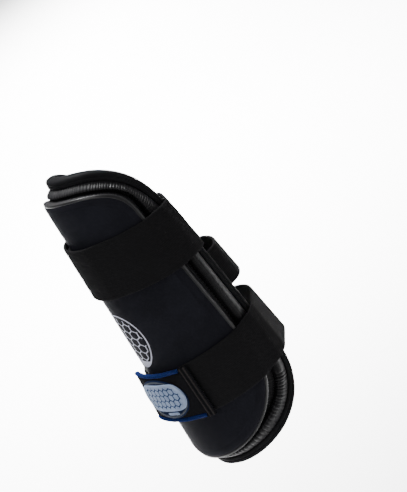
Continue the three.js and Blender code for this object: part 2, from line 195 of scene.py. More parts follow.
def rim_stations(count):
    z = HALF * np.cos(np.linspace(0, math.pi, TRIAL_POINTS))
    x = outline_reach(z, RIM)
    run = totals(np.hypot(np.diff(x), np.diff(z)))
    at = np.linspace(0, run[-1], count // 2 + 1)
    near = np.stack([np.interp(at, run, x), np.interp(at, run, z)], -1)
    place = np.concatenate([near, near[-2:0:-1] * [-1, 1]])
    step = 2 * run[-1] / count
    along = np.roll(place, -1, 0) - np.roll(place, 1, 0)
    along = unit(np.stack([round_smooth(one, step, SMOOTH_WAY) for one in along.T], -1))
    inward = np.stack([along[:, 1], -along[:, 0]], -1)
    border = round_smooth(border_width(place, inward), step, SMOOTH_WIDTH)
    endwise = np.abs(inward[:, 1])
    to_elbow = smoothstep(-place[:, 1], 60.0, 125.0) * smoothstep(endwise, 0.1, 0.7)
    return {"place": place, "inward": inward, "border": border, "whole": step * count,
            "run": np.arange(count) * step, "endwise": endwise, "to_elbow": to_elbow}


def at_rim(stations, keys):
    """Points at keys (depth in from the rim, height over the lining), with their flat places."""
    depth, height = keys[..., :1], keys[..., 1]
    flat = stations["place"][:, None] + stations["inward"][:, None] * depth
    return wrapped(flat, height), np.concatenate([flat, depth], -1)


RIM_FINE = rim_stations(FINE_STATIONS)
RIM_PLAIN = rim_stations(PLAIN_STATIONS)
print("rim, mm:", round(RIM_FINE["whole"]), "border, mm:", RIM_FINE["border"].min().round(1),
      "to", RIM_FINE["border"].max().round(1))

# %% [markdown]
# ## Turning points into meshes
#
# Every piece is a grid of points, closed one way or both ways. The flat place of each point is
# kept as an attribute, so that grain, weave and print follow the cut of the material and not the
# room round it.

# %% Meshes from grids
WELD = 1e-6


def placed(name, data):
    """A new object in the scene, from a mesh, a camera or a light."""
    made = bpy.data.objects.new(name, data)
    bpy.context.scene.collection.objects.link(made)
    return made


def grid_faces(rows, columns, close_rows, close_columns):
    index = np.arange(rows * columns).reshape(rows, columns)
    next_row, next_column = np.roll(index, -1, 0), np.roll(index, -1, 1)
    corners = np.stack([index, next_row, np.roll(next_row, -1, 1), next_column], -1)
    last_row, last_column = (None if closed else -1 for closed in (close_rows, close_columns))
    return corners[:last_row, :last_column].reshape(-1, 4)


def outward(points, faces):
    """The same faces, turned so that the solid they close has a positive volume."""
    first, second, third, fourth = points[faces].transpose(1, 0, 2)
    volume = (first * (np.cross(second, third) + np.cross(third, fourth))).sum()
    return faces if volume > 0 else faces[:, ::-1]


def joined(name, parts):
    """One piece from one grid or several, each (points, flat, close_rows, close_columns)."""
    points, flat, faces, start = [], [], [], 0
    for grid, grid_flat, close_rows, close_columns in parts:
        corners = grid_faces(*grid.shape[:2], close_rows, close_columns)
        points.append(grid.reshape(-1, 3))
        flat.append(grid_flat.reshape(-1, 3))
        faces.append(outward(points[-1], corners) + start)
        start += len(points[-1])
    mesh = bpy.data.meshes.new(name)
    mesh.from_pydata((np.concatenate(points) * MM).tolist(), [], np.concatenate(faces).tolist())
    place = mesh.attributes.new("flat", "FLOAT_VECTOR", "POINT")
    place.data.foreach_set("vector", np.concatenate(flat).astype(np.float32).ravel())
    weld = bmesh.new()
    weld.from_mesh(mesh)
    bmesh.ops.remove_doubles(weld, verts=weld.verts, dist=WELD)
    weld.to_mesh(mesh)
    weld.free()
    mesh.polygons.foreach_set("use_smooth", [True] * len(mesh.polygons))
    mesh.validate()
    piece = placed(name, mesh)
    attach(piece, "root")
    return piece


print("faces of 3 by 4 points, open and closed:", len(grid_faces(3, 4, False, False)),
      len(grid_faces(3, 4, True, True)))

# %% [markdown]
# ## Finishes
#
# `Wire` is one socket of a material. Wires add, multiply and mix like numbers, so a weave or a
# grain reads as a formula. Each finish starts from the flat place of the point, in millimetres.

# %% A small language for materials
def sum_of(operation, reflected=False):
    """A method that works out one sum from a wire and a wire or a number."""
    def method(self, other):
        return self.maths(operation, *((other, self) if reflected else (self, other)))
    return method


class Wire:
    """A socket of a material that can be used in sums."""

    def __init__(self, tree, socket):
        self.tree = tree
        self.socket = socket

    def made(self, kind, settings, inputs, output=0):
        """Adds any node: its settings first, then its inputs, as values or wires."""
        node = self.tree.nodes.new(kind)
        for name, value in settings.items():
            setattr(node, name, value)
        for name, value in inputs.items():
            if isinstance(value, Wire):
                self.tree.links.new(value.socket, node.inputs[name])
            else:
                node.inputs[name].default_value = value
        return Wire(self.tree, node.outputs[output])

    def maths(self, operation, *values):
        return self.made("ShaderNodeMath", {"operation": operation}, dict(enumerate(values)))

    __add__ = __radd__ = sum_of("ADD")
    __mul__ = __rmul__ = sum_of("MULTIPLY")
    __sub__, __rsub__ = sum_of("SUBTRACT"), sum_of("SUBTRACT", reflected=True)
    __truediv__, __mod__, __pow__ = sum_of("DIVIDE"), sum_of("FLOORED_MODULO"), sum_of("POWER")
    least, most = sum_of("MINIMUM"), sum_of("MAXIMUM")

    def __abs__(self):
        return self.maths("ABSOLUTE", self)

    def sine(self):
        return self.maths("SINE", self)

    def ramp(self, low, high):
        """0 up to low, 1 from high, and smooth between."""
        settings = {"interpolation_type": "SMOOTHSTEP"}
        return self.made("ShaderNodeMapRange", settings, {0: self, 1: low, 2: high})

    def between(self, rise, full, fade, end):
        """0 up to rise, 1 from full to fade, and 0 again from end."""
        return self.ramp(rise, full) * (1.0 - self.ramp(fade, end))

    def blend(self, start, end):
        """A colour between two, by this wire. Each is three numbers or a wire."""
        start, end = (one if isinstance(one, Wire) else (*one, 1) for one in (start, end))
        return self.made("ShaderNodeMix", {"data_type": "RGBA"}, {0: self, 6: start, 7: end}, 2)

    def noise(self, scale, detail=2.0):
        return self.made("ShaderNodeTexNoise", {}, {"Vector": self, "Scale": scale, "Detail": detail})

    def cells(self, scale, feature="F1"):
        return self.made("ShaderNodeTexVoronoi", {"feature": feature}, {"Vector": self, "Scale": scale})

    def axes(self):
        node = self.made("ShaderNodeSeparateXYZ", {}, {0: self}).socket.node
        return [Wire(self.tree, output) for output in node.outputs]


def finish(name, colour, roughness, shine, sheen=0.0):
    """A material with its constants on the shader, and the wire that carries the flat place."""
    material = bpy.data.materials.new(f"drawn_{name}")
    material["slot"] = name
    material.use_nodes = True
    material.diffuse_color = (*colour, 1)
    shader = material.node_tree.nodes["Principled BSDF"]
    constants = {"Base Color": (*colour, 1), "Roughness": roughness, "Specular IOR Level": shine,
                 "Sheen Weight": sheen, "Sheen Roughness": 0.5}
    for socket, value in constants.items():
        shader.inputs[socket].default_value = value
    start = Wire(material.node_tree, None)
    flat = start.made("ShaderNodeAttribute", {"attribute_name": "flat"}, {}, "Vector")
    return material, shader, flat


def drive(shader, socket, wire):
    wire.tree.links.new(wire.socket, shader.inputs[socket])


def tint(shader, wire, low, high, dark, light):
    """Colours a finish from dark to light, as a wire goes from low to high."""
    drive(shader, "Base Color", wire.ramp(low, high).blend(dark, light))


def relief(shader, height, depth):
    """Bumps of the given depth in millimetres."""
    inputs = {"Height": height, "Distance": depth * MM, "Strength": 1.0}
    drive(shader, "Normal", height.made("ShaderNodeBump", {}, inputs))


print("what a wire can do:", ", ".join(name for name in vars(Wire) if name[0] != "_"))

# %% [markdown]
# The leatherettes are the same cloth-backed vinyl with three embossings: matt and fine on the
# shell, soft and glossy on the gathered border, smooth on the binding. Large faint patches, where
# hands have polished it, keep the black from looking like paint.

# %% Leatherettes
def leatherette(name, colour, worn, roughness, shine, grain, depth):
    material, shader, flat = finish(name, colour, roughness, shine)
    pebbles = flat.cells(grain, "SMOOTH_F1")
    patches = flat.noise(0.04, 3.0)
    fine = flat.noise(3.0, 3.0)
    skin = patches.ramp(0.35, 0.7).blend(colour, worn)
    drive(shader, "Base Color", skin)
    drive(shader, "Roughness", roughness - 0.04 + patches * 0.05 + fine * 0.04)
    relief(shader, pebbles * 0.7 + fine * 0.5, depth)
    return material, shader, flat, skin


shell_skin, shell_shader, shell_flat, shell_colour = leatherette(
    "shell_leatherette", (0.0135, 0.0135, 0.0175), (0.0170, 0.0172, 0.0225),
    roughness=0.55, shine=0.008, grain=1.1, depth=0.06)
border_skin, border_shader, border_flat, _ = leatherette(
    "border_leatherette", (0.0100, 0.0098, 0.0112), (0.0130, 0.0128, 0.0142),
    roughness=0.27, shine=0.21, grain=0.8, depth=0.05)
binding_skin, _, _, _ = leatherette(
    "binding_leatherette", (0.0120, 0.0120, 0.0132), (0.0155, 0.0155, 0.0168),
    roughness=0.5, shine=0.012, grain=1.3, depth=0.04)
print("leatherettes:", shell_skin.name, border_skin.name, binding_skin.name)

# %% [markdown]
# The roll and the bead are polished. The valley, the wall and the outer foot of the strip are
# matt, and so are the ends of the guard, where the hand and the elbow rub on it. A thin clear coat
# on the bead alone gives the fine bright line along the edge of the shell. The third value of the
# strip's flat place counts its keys from the binding to the shell, so one finish can tell them.

# %% Polish of the border
BORDER_PARTS = {"outer_foot": (2.7, 3.6), "valley_and_wall": (7.0, 8.0, 13.0, 13.6),
                "bead": (13.4, 14.0, 16.4, 17.0)}
_, toward_wrist, strip = border_flat.axes()
outer_foot = 1.0 - strip.ramp(*BORDER_PARTS["outer_foot"])
valley_and_wall = strip.between(*BORDER_PARTS["valley_and_wall"])
worn_ends = 1.0 - toward_wrist.between(-140.0, -116.0, 114.0, 134.0)
matt = valley_and_wall.most(outer_foot).most(worn_ends * 0.7)
drive(border_shader, "Roughness", matt * 0.3 + border_flat.noise(3.0, 3.0) * 0.06 + 0.24)
coated = strip.between(*BORDER_PARTS["bead"]) * toward_wrist.ramp(-125.0, -90.0)
drive(border_shader, "Coat Weight", coated * 0.8)
border_shader.inputs["Coat Roughness"].default_value = 0.28
print("polish follows", len(BORDER_PARTS), "parts of the border")

# %% [markdown]
# The shell carries a screen print: a plain oval ring with a honeycomb in it and a solid foot. The
# ink is a little thin over the grain. It could be a picture laid on the skin, but a formula over
# the flat place stays sharp at any distance.

# %% Print on the shell
def honeycomb(x, y, size):
    """Distance in from the edge of six-sided cells, as a share of their size."""
    tall = math.sqrt(3)
    x, y = x / size, y / size
    first_x, first_y = abs(x % 1.0 - 0.5), abs(y % tall - tall / 2)
    second_x, second_y = abs((x + 0.5) % 1.0 - 0.5), abs((y + tall / 2) % tall - tall / 2)
    first = first_x.most(first_x * 0.5 + first_y * (tall / 2))
    second = second_x.most(second_x * 0.5 + second_y * (tall / 2))
    return 0.5 - first.least(second)


PRINT = {"around": -7.5, "z": -5.6, "half_width": 20.3, "half_length": 27.0, "lean": -8.0}
INK = (0.6, 0.61, 0.72)
PRINT_CELL, FOOT_BELOW = 8.0, -19.4
around, along, _ = shell_flat.axes()
lean_x, lean_y = math.cos(math.radians(PRINT["lean"])), math.sin(math.radians(PRINT["lean"]))
beside, above = around - PRINT["around"], along - PRINT["z"]
across_print = (beside * lean_x + above * lean_y) / PRINT["half_width"]
along_print = (above * lean_x - beside * lean_y) / PRINT["half_length"]
oval = (across_print ** 2.0 + along_print ** 2.0) ** 0.5
ring = oval.between(0.93, 0.945, 0.99, 1.0)
lines = 1.0 - honeycomb(around, above, PRINT_CELL).ramp(0.05, 0.07)
foot = (1.0 - above.ramp(FOOT_BELOW - 0.6, FOOT_BELOW)) * (1.0 - oval.ramp(0.985, 1.0))
inside = lines * (1.0 - oval.ramp(0.85, 0.865))
inked = ring.most(inside).most(foot) * shell_flat.noise(1.2, 2.0).ramp(0.24, 0.3)
drive(shell_shader, "Base Color", inked.blend(shell_colour, INK))
print("print, mm:", 2 * PRINT["half_width"], "by", 2 * PRINT["half_length"])

# %% [markdown]
# Elastic webbing has covered rubber cords running its whole length, crossed by a fine weft. The
# loop tape is a nap of tiny loops, and the lining is a warp knit with rows of dents. Each is a
# formula over the flat place, so its threads follow the cut of the piece.

# %% Webbing, tape and lining
# The mark for the points that get a painted highlight: the sewn ridges at a tab's end.
PAINTED_HIGHLIGHT_MARK = 900.0


def webbing(name, colour, light, rib, weft, depth):
    """Woven tape. Points with the highlight mark take a paler colour: a painted highlight on the sewn
    ridges.
    """
    material, shader, flat = finish(name, colour, 0.95, 0.012, 0.006)
    around, across, mark = flat.axes()
    cords = abs((across * (math.pi / rib)).sine())
    picks = abs((around * (math.pi / weft) + cords * 0.8).sine())
    fuzz = flat.noise(2.2, 3.0)
    patches = flat.noise(0.05, 2.0)
    # The colour is lighter on the cords and picks and darker in the grooves between them, following the
    # relief: painted shade in the weave, over a random tone from the fuzz and the patches.
    shade = (cords * 0.35 + picks * 0.3 + fuzz * 0.3 + patches * 0.3).ramp(0.35, 1.15)
    # The marked ridges get a paler colour: a painted highlight.
    painted_highlight = mark.ramp(PAINTED_HIGHLIGHT_MARK / 2, PAINTED_HIGHLIGHT_MARK)
    drive(shader, "Base Color", painted_highlight.blend(shade.blend(colour, light), (0.034, 0.031, 0.031)))
    relief(shader, cords * 0.6 + picks * 0.35 + fuzz * 0.35, depth)
    return material


elastic = webbing("elastic_webbing", (0.0104, 0.0102, 0.0108), (0.0160, 0.0157, 0.0168),
                  rib=1.5, weft=1.0, depth=0.16)
hook = webbing("hook_tab", (0.0070, 0.0069, 0.0084), (0.0110, 0.0108, 0.0126),
               rib=0.9, weft=0.9, depth=0.12)

loop, loop_shader, loop_flat = finish("loop_tape", (0.006, 0.006, 0.0065), 0.95, 0.08, 0.03)
nap = loop_flat.noise(2.5, 5.0) + loop_flat.cells(1.4) * 0.6
# The nap makes the tape lighter where it stands high and darker where it is low, following the relief:
# painted shade between the loops, over a random tone.
tint(loop_shader, nap, 0.4, 1.1, (0.004, 0.004, 0.0045), (0.011, 0.011, 0.012))
relief(loop_shader, nap, 0.5)

lining, lining_shader, lining_flat = finish("lining_fabric", (0.012, 0.012, 0.014), 0.8, 0.12, 0.03)
stitch_x, stitch_z, _ = lining_flat.axes()
wales = abs((stitch_x * (math.pi / 1.4)).sine())
courses = abs((stitch_z * (math.pi / 1.1) + stitch_x * (math.pi / 1.4)).sine())
knit = wales * 0.6 + courses * 0.5 + lining_flat.noise(1.5, 2.0) * 0.3
# The knit makes the lining lighter on its wales and courses and darker in the dents, following the
# relief: painted shade, over a random tone from the noise.
tint(lining_shader, knit, 0.3, 1.2, (0.009, 0.009, 0.0105), (0.02, 0.02, 0.023))
relief(lining_shader, knit, 0.3)
print("cloths:", elastic.name, hook.name, loop.name, lining.name)

# %% [markdown]
# The tabs are overlocked in blue yarn, the border is sewn with dull grey thread, and the badge is
# cast rubber in two colours with sunk lines. The third value of its flat place counts the rings of
# the badge: up to 10 on its base, from 100 on its plate and from 200 on its label, so the lines
# can follow the shape.

# %% Yarn, thread and rubber
blue, blue_shader, blue_flat = finish("blue_edging", (0.008, 0.036, 0.18), 0.7, 0.08, 0.02)
tint(blue_shader, blue_flat.noise(0.9, 3.0), 0.3, 0.7, (0.006, 0.014, 0.090), (0.013, 0.034, 0.165))
relief(blue_shader, blue_flat.noise(5.0, 2.0), 0.1)

thread, thread_shader, thread_flat = finish("thread", (0.035, 0.035, 0.037), 0.6, 0.3)
thread["slot"] = "border_leatherette"
tint(thread_shader, thread_flat.noise(3.0), 0.3, 0.7, (0.014, 0.014, 0.015), (0.034, 0.034, 0.036))

BADGE_RINGS = {"rim_line": (7.2, 7.4, 8.6, 8.8), "plate": (50.0, 51.0),
               "cells": (50.0, 51.0, 107.9, 108.1)}
BADGE_CELL = 6.4
rubber, rubber_shader, rubber_flat = finish("badge_rubber", (0.3, 0.36, 0.5), 0.6, 0.02)
badge_x, badge_y, badge_ring = rubber_flat.axes()
cell_edge = honeycomb(badge_x, badge_y, BADGE_CELL)
groove = (1.0 - cell_edge.ramp(0.07, 0.11)) * badge_ring.between(*BADGE_RINGS["cells"])
thin_line = badge_ring.between(*BADGE_RINGS["rim_line"])
pale = rubber_flat.noise(0.2, 3.0).ramp(0.3, 0.7).blend((0.25, 0.32, 0.47), (0.31, 0.385, 0.55))
dark = thin_line.blend((0.006, 0.014, 0.045), (0.07, 0.08, 0.1))
lined = groove.blend(pale, (0.02, 0.045, 0.12))
drive(rubber_shader, "Base Color", badge_ring.ramp(*BADGE_RINGS["plate"]).blend(dark, lined))
relief(rubber_shader, 1.0 - groove, 0.35)
print("finishes made:", len(bpy.data.materials))

# %% [markdown]
# ## Backing pad
#
# The real pad is thin foam between two cloths, cut flat and wrapped. A sheet with thickness would
# do, but its rounded edge has to meet the binding, so it is a section swept round the rim, with
# rings in to the middle line above and below.

# %% Rings to the middle line
PAST_BORDER = 60.0


def to_spine(stations, key, shares, spine):
    """Rings that carry on from one key in to the middle line of the guard."""
    flat = stations["place"] + stations["inward"] * key[:, :1]
    middle = np.stack([np.zeros(len(flat)), np.clip(flat[:, 1], -spine, spine)], -1)
    flat = flat[:, None] + (middle - flat)[:, None] * shares[None, :, None]
    third = np.full(flat.shape[:2] + (1,), PAST_BORDER)
    return wrapped(flat, key[:, 1:]), np.concatenate([flat, third], -1)


def covered(stations, keys, first_rings, last_rings, spine):
    """A section round the rim, carried on from both its ends to the middle line."""
    rings = [to_spine(stations, keys[:, 0], np.linspace(1, 0, first_rings + 1)[:-1], spine),
             at_rim(stations, keys),
             to_spine(stations, keys[:, -1], np.linspace(0, 1, last_rings + 1)[1:], spine)]
    return [np.concatenate(some, 1) for some in zip(*rings)]


def spread(count, *pairs):
    """Keys (depth, height) at every station, from numbers or from one value a station."""
    return np.stack([np.stack([np.broadcast_to(one, count) for one in pair], -1) for pair in pairs])


# %% Backing pad
SKIRT = 12.0


def dress(piece, material, node):
    """Gives a piece its finish, and says which node of the part it stands for."""
    piece.data.materials.append(material)
    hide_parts(node)
    print(piece.name, "stands for", node, "with", len(piece.data.polygons), "faces")
    return piece


def backing_pad():
    edge = [(SKIRT, PAD), (5.0, PAD), (2.2, PAD - 0.2), (1.5, PAD - 1.2), (1.4, PAD / 2),
            (1.5, 1.2), (2.2, 0.2), (5.0, 0.0), (SKIRT, 0.0)]
    keys = spread(PLAIN_STATIONS, *edge).transpose(1, 0, 2)
    return joined("backing", [(*covered(RIM_PLAIN, keys, 21, 21, spine=90.0), True, False)])


backing = dress(backing_pad(), lining, "backing_pad")

# %% [markdown]
# ## Binding
#
# A tape of smooth leatherette, folded round the rim and sewn through. A crease along its middle
# makes it show as two thin bands, so the crease is part of the swept section.

# %% Binding of the rim
def through(keys, steps):
    """A smooth line through keys (count, ..., size), with steps points from each to the next."""
    keys = np.asarray(keys, float)
    before = np.concatenate([keys[:1] * 2 - keys[1:2], keys[:-2]])
    after = np.concatenate([keys[2:], keys[-1:] * 2 - keys[-2:-1]])
    start, end = keys[:-1], keys[1:]
    cubic = -0.5 * before + 1.5 * start - 1.5 * end + 0.5 * after
    square = before - 2.5 * start + 2 * end - 0.5 * after
    slope = 0.5 * (end - before)
    line = np.stack([((cubic * t + square) * t + slope) * t + start
                     for t in np.arange(steps) / steps], 1)
    return np.concatenate([line.reshape((-1,) + keys.shape[1:]), keys[-1:]])


def edge_binding():
    outer = [(7.55, 6.3), (7.5, 7.1), (6.9, 7.62), (5.6, 7.85), (4.6, 7.72), (4.1, 7.3),
             (3.6, 7.72), (2.4, 7.6), (1.1, 7.0), (0.25, 5.6), (0.0, 3.0), (0.25, 0.6),
             (1.1, -0.9), (3.6, -1.5), (6.6, -1.5), (7.5, -1.1), (7.55, -0.45)]
    line = through(outer, 3)
    inner = np.array([(4.0, -0.2), (1.3, 0.2), (1.2, 3.0), (1.3, 5.8), (4.0, 6.2)])
    section = np.concatenate([line, inner])
    keys = np.tile(section, (PLAIN_STATIONS, 1, 1))
    wave = 0.12 * np.sin(RIM_PLAIN["run"] / 9.0) + 0.08 * np.sin(RIM_PLAIN["run"] / 3.7)
    keys[..., 1] += wave[:, None] * (section[:, 1] > 6.5)
    return joined("binding", [(*at_rim(RIM_PLAIN, keys), True, True)])


dress(edge_binding(), binding_skin, "edge_binding")

# %% [markdown]
# ## Shell
#
# The foam block has a steep wall and a softly rounded edge, rounder at the elbow. It could be a
# box with a bevel, but the wrap and the rounded ends make a swept section simpler: the section is
# given at each station of the rim, and rings carry on from it to the middle line.

# %% Moulded shell
def wall_top(stations):
    """Height of the top of the wall over the lining: lower at the elbow, where the edge is rounder."""
    return SHELL_TOP - 0.75 - 1.3 * stations["to_elbow"]


def wall_run(stations):
    """How far the wall leans: it stands nearly upright at the wrist and the elbow."""
    at_end = smoothstep(stations["endwise"], 0.45, 0.9)
    return WALL_RUN - at_end * np.where(stations["place"][:, 1] > 0, 3.1, 2.2)


def shell_height(flat):
    """The flat top is not quite flat: the skin is drawn over foam."""
    around, z = flat[..., 0], flat[..., 1]
    return 0.16 * np.sin(z / 17.0 + around / 29.0) + 0.12 * np.sin(z / 9.0 - around / 13.0 + 1.0)


def shell_pad():
    border, top, run = RIM_PLAIN["border"], wall_top(RIM_PLAIN), wall_run(RIM_PLAIN)
    rounding = 4.0 + 3.5 * RIM_PLAIN["to_elbow"]
    foot = border - run + 0.9
    low = spread(PLAIN_STATIONS, (foot + 8, PAD + GAP), (foot + 0.4, PAD + GAP),
                 (foot, PAD + GAP + 0.4), (foot + 0.27 * run, mix(PAD, top, 0.6)),
                 (border - 0.3, top - 1.1), (border + 0.35, top - 0.55))
    share = np.linspace(0, 1, 10)[1:]
    rise = (1 - (1 - share) ** 2.3) ** (1 / 1.6)
    curve = spread(PLAIN_STATIONS, *[(border + 0.35 + s * rounding, mix(top - 0.3, SHELL_TOP, r))
                                     for s, r in zip(share, rise)])
    keys = np.concatenate([low, curve]).transpose(1, 0, 2)
    under = 7
    points, flat = covered(RIM_PLAIN, keys, under, 25, spine=70.0)
    on_top = np.arange(points.shape[1]) >= under + len(low)
    lift = shell_height(flat) * smoothstep(flat[..., 2], 28.0, 40.0) * on_top
    points[..., :2] *= (1 + lift / np.linalg.norm(points[..., :2], axis=-1))[..., None]
    return joined("shell", [(points, flat, True, False)])


shell = dress(shell_pad(), shell_skin, "shell_pad")

# %% [markdown]
# ## Gathered border
#
# One strip of glossy leatherette runs from under the binding, over a roll of wadding, down to a
# row of stitches, across a narrow valley and up the wall of the shell to a thin bead. On the
# straight sides it lies smooth. Round the corners there is too much of it, and it puckers into
# pleats across the roll. The pleats are creases at uneven distances with puffs between them,
# strongest at the corners.

# %% Gathers
def gathers(run, whole, low, high, dice):
    """1 on a puff and 0 in a crease, for creases at uneven steps round a closed line."""
    steps = dice.uniform(low, high, int(2 * whole / (low + high)))
    creases = totals(steps) * whole / steps.sum()
    size = dice.uniform(0.55, 1.0, len(steps))
    where = run % whole
    index = np.clip(np.searchsorted(creases, where, "right") - 1, 0, len(steps) - 1)
    share = (where - creases[index]) / (creases[index + 1] - creases[index])
    return (1 - np.abs(2 * share - 1) ** 2.2) * size[index]


def waver(run, whole, count, dice):
    """A slow wave round a closed line, from -1 to 1."""
    total = np.zeros_like(run)
    for k in range(2, count):
        total += dice.normal() * np.sin(FULL_TURN * k * run / whole + dice.uniform(0, 6.3))
    return total / np.abs(total).max()


# %% [markdown]
# The section of the strip is a line through keys, from under the binding to inside the bead, at
# every station. The puffs and creases then push that line along its own normal. A solver for
# cloth could make them too, but then their number and depth would be left to luck.

# %% Border strip
STRIP_SEED, STRIP_STEPS, CREST_KEY = 11, 2, 4
ROLL_WIDTH = 12.4
ROLL_KEYS = [(0.05, 0.2), (0.3, 0.66), (0.64, 1.0), (0.84, 0.8), (0.94, 0.42)]
WALL_KEYS = [(0.33, 0.42), (0.61, 0.8)]
BEAD_KEYS = [(-1.45, -0.35), (-0.6, 0.02), (0.3, 0.2), (0.8, -0.3), (0.95, -1.2)]


def border_strip():
    """The strip, and the depth and height of its seam at every station."""
    dice = np.random.default_rng(STRIP_SEED)
    stations = RIM_FINE
    border, run, whole = stations["border"], stations["run"], stations["whole"]
    lean_in = wall_run(stations)
    foot = border - lean_in
    start = BINDING_WIDTH + GAP
    channel = foot - start
    by_elbow = smoothstep(-stations["place"][:, 1], -20.0, 60.0)
    seam = start + np.minimum(ROLL_WIDTH + 0.6 * by_elbow, 0.98 * channel)
    seam -= 0.35 * smoothstep(channel, 6.0, 3.0)
    wide = seam - start
    floor = PAD + 0.45
    rise = (1 - 0.2 * by_elbow) * np.minimum(ROLL_RISE, 1.15 * channel)
    rise *= 1 + 0.05 * waver(run, whole, 30, dice)
    top = wall_top(stations)
    narrow = smoothstep(channel, 7.0, 4.5)
    valley = floor + 0.7 + 1.2 * narrow
    keys = spread(
        FINE_STATIONS,
        (start - 2.2, floor - 0.05),
        (start - 0.35, floor),
        *[(start + share * wide, floor + lift * rise) for share, lift in ROLL_KEYS],
        (seam, valley - 0.25),
        (seam + 0.12 * (foot - seam) + 0.5, valley + 0.15),
        (mix(seam, foot, 0.7) + 0.2, valley + 0.1),
        (foot + 0.12 * lean_in, valley + 0.9),
        *[(foot + share * lean_in, mix(valley, top, lift)) for share, lift in WALL_KEYS],
        (border - 1.7 + 0.4 * (WALL_RUN - lean_in) / 3, top - 1.1),
        *[(border + past, top + lift) for past, lift in BEAD_KEYS],
    )
    line = through(keys, STRIP_STEPS)
    across = np.arange(len(line)) / STRIP_STEPS
    slope = unit(np.gradient(line, axis=0))
    normal = np.stack([-slope[..., 1], slope[..., 0]], -1)
    lean = 3.2 * waver(run, whole, 40, dice)
    shifted = run[None] + lean[None] * (across[:, None] - CREST_KEY) / CREST_KEY
    close_set, wide_set = (gathers(shifted, whole, *gap, dice) for gap in ((1.9, 3.2), (2.6, 4.6)))
    broad = mix(close_set, wide_set, by_elbow)
    tight = gathers(shifted, whole, 1.7, 3.0, dice)
    end = stations["endwise"]
    at_corner = smoothstep(end, 0.16, 0.35) * (1 - 0.3 * smoothstep(end, 0.8, 1.0))
    amount = 0.06 + mix(0.85, 1.05, by_elbow) * at_corner
    on_roll = np.interp(across, [0, 1.5, 2.5, 4, 5.5, 6.6, 7.4, 9, 12.5, 13.4, 18],
                        [0, 0.15, 0.7, 1, 1.0, 0.85, 0.35, 0.25, 0.35, 0.0, 0])
    at_seam = np.interp(across, [0, 1, 2.2, 4, 5.2, 6.8, 7.6, 9, 12, 18],
                        [0, 0.2, 0.45, 0.12, 0.3, 0.9, 0.45, 0.25, 0.1, 0])
    wander = 0.12 * waver(run, whole, 160, dice)
    push = on_roll[:, None] * (amount * (broad - 0.62) + wander)
    push += at_seam[:, None] * (0.1 + 0.42 * smoothstep(end, 0.16, 0.4)) * (tight - 0.6)
    line = (line + normal * push[..., None]).transpose(1, 0, 2)
    points, flat = at_rim(stations, line)
    flat[..., 2] = across
    return joined("border", [(points, flat, True, False)]), seam, valley


border, seam_depth, seam_height = border_strip()
dress(border, border_skin, "border_roll")

# %% [markdown]
# ## Stitches
#
# Thread lies on the surface as short rounded dashes that dip into the cloth at both ends. A bump
# could draw them, but real thread stands up and catches the light, so each is a thin capsule. All
# those of a seam are one mesh.

# %% Dashes of thread
DASH_SHARE, DASH_SINK = 0.62, 0.25


def turns(count):
    """Even steps once round, without the last, which is the first again."""
    return np.linspace(0, FULL_TURN, count + 1)[:-1]


def tube(core, side, up, girth):
    """Rings of six points round a line, from the two ways square to it."""
    turn = turns(6)[:, None]
    ring = np.cos(turn) * side[..., None, :] + np.sin(turn) * up[..., None, :]
    return core[:, None] + girth * ring


def dashes(starts, ends, radius, out):
    """Grids of thread dashes from starts to ends; out points away from the cloth."""
    share = np.array([0.0, 0.06, 0.2, 0.5, 0.8, 0.94, 1.0])
    girth = np.array([0.05, 0.6, 0.95, 1.0, 0.95, 0.6, 0.05])
    dip = np.array([-1.0, -0.45, 0.3, 0.7, 0.3, -0.45, -1.0]) * DASH_SINK
    parts = []
    for start, end, up in zip(starts, ends, out):
        way = end - start
        side = unit(np.cross(way, up))
        core = start + way * share[:, None] + up * dip[:, None]
        points = tube(core, side, up, radius * girth[:, None, None])
        parts.append((points, points, False, True))
    return parts


def rim_dashes(depth, height, pitch, radius):
    """A row of dashes round the rim, at a depth in from it and a height over the lining."""
    stations, whole = RIM_FINE, RIM_FINE["whole"]
    count = int(whole / pitch)
    keys = [spread(FINE_STATIONS, (depth, height + lift)).transpose(1, 0, 2) for lift in (0, 1)]
    line, above = (at_rim(stations, key)[0][:, 0] for key in keys)
    begin = np.arange(count) * whole / count
    steps = np.append(stations["run"], whole)

    def pick(points, where):
        closed = np.concatenate([points, points[:1]])
        return np.stack([np.interp(where, steps, one) for one in closed.T], -1)

    starts, ends = pick(line, begin), pick(line, begin + DASH_SHARE * whole / count)
    return dashes(starts, ends, radius, unit(pick(above, begin) - starts))


roll_dashes = rim_dashes(depth=seam_depth, height=seam_height + 0.05, pitch=3.0, radius=0.33)
dress(joined("border_stitches", roll_dashes), thread, "border_roll")
binding_dashes = rim_dashes(depth=6.45, height=7.72, pitch=3.2, radius=0.26)
dress(joined("binding_stitches", binding_dashes), binding_skin, "edge_binding")

# %% [markdown]
# ## Straps
#
# A stretched strap takes the shortest way round, so its line is the convex outline of whatever it
# goes over. That is worked out for several lanes across the strap, which lets it twist over the
# tapering arm. Where it is sewn it turns in under the rim.

# %% The line a stretched strap takes
def lane_z(strap, bearing, lane):
    behind = (1 - np.cos(bearing)) / 2
    side_lift = strap["near"] - (strap["front"] + strap["back"]) / 2
    return (mix(strap["front"], strap["back"], behind) + side_lift * np.sin(bearing)
            + lane * strap["width"] / 2)


def rim_bearing(z):
    return outline_reach(z, RIM) / wrap_radius(z)


def top_bearing(strap):
    z = lane_z(strap, 0.0, np.array([-1.0, 0.0, 1.0]))
    return float(((outline_reach(z, SHELL) - 4.0) / wrap_radius(z)).min())


def root_bearing(strap):
    z = lane_z(strap, math.pi, 0.0)
    return float(rim_bearing(z) - ROOT_LAP / wrap_radius(z))


